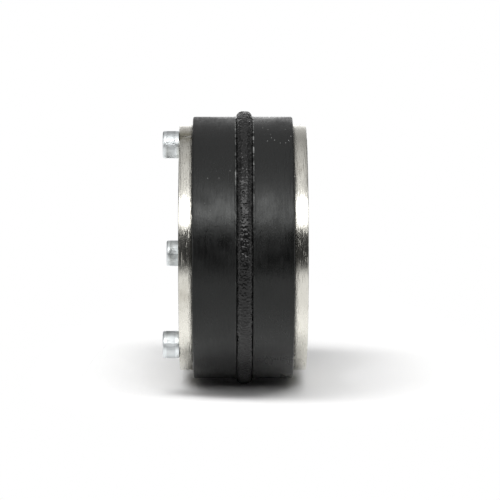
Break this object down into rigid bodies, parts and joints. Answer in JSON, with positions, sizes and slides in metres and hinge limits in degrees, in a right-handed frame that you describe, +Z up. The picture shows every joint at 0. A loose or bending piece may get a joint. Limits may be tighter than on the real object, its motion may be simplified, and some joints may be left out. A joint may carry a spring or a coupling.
{
  "type": "rubber expansion joint",
  "caption": "Annular rubber joint with a sealing bead, clamped between steel rings by cap screws so that the rubber swells against a pipe inside it and a bore around it.",
  "frame": {"origin": "on the axis of the pipe bore, in the middle of the rubber's width", "axes": "+X along the bore, away from the screw heads; +Z up from the sole of the bead that it stands on; -Y towards the side with two screw heads"},
  "size_m": [0.053, 0.102, 0.1014],
  "materials": {
    "turned_steel": "lathe-turned stainless steel, satin, with fine turning marks",
    "black_rubber": "moulded black rubber with a soft sheen and traces of talc",
    "bead_rubber": "rough, pebbled black rubber",
    "plated_screw": "bright plated steel with a knurled head"
  },
  "bodies": {
    "rubber_and_front_ring": {"front_pressure_ring": "turned_steel", "front_rubber_ring": "black_rubber", "rear_rubber_ring": "black_rubber", "sealing_bead": "bead_rubber"},
    "rear_ring": {"rear_pressure_ring": "turned_steel"},
    "screw_1": {"cap_screw_1": "plated_screw"},
    "screw_2": {"cap_screw_2": "plated_screw"},
    "screw_3": {"cap_screw_3": "plated_screw"}
  },
  "joints": [
    {"name": "squeeze", "type": "slide", "parent": "rubber_and_front_ring", "child": "rear_ring", "axis": [-1, 0, 0], "range_m": [0, 0.005], "deforming": ["front_rubber_ring", "rear_rubber_ring", "sealing_bead"]},
    {"name": "screw_1_turn", "type": "hinge", "parent": "rubber_and_front_ring", "child": "screw_1", "pos_m": [-0.0235, -0.01313, 0.04042], "axis": [1, 0, 0], "range_deg": [0, 1800]},
    {"name": "screw_2_turn", "type": "hinge", "parent": "rubber_and_front_ring", "child": "screw_2", "pos_m": [-0.0235, -0.02844, -0.03158], "axis": [1, 0, 0], "range_deg": [0, 1800]},
    {"name": "screw_3_turn", "type": "hinge", "parent": "rubber_and_front_ring", "child": "screw_3", "pos_m": [-0.0235, 0.04157, -0.00884], "axis": [1, 0, 0], "range_deg": [0, 1800]}
  ],
  "couplings": [
    {"joint": "screw_1_turn", "follows": "squeeze", "rad_per_m": 6283.2},
    {"joint": "screw_2_turn", "follows": "squeeze", "rad_per_m": 6283.2},
    {"joint": "screw_3_turn", "follows": "squeeze", "rad_per_m": 6283.2}
  ]
}
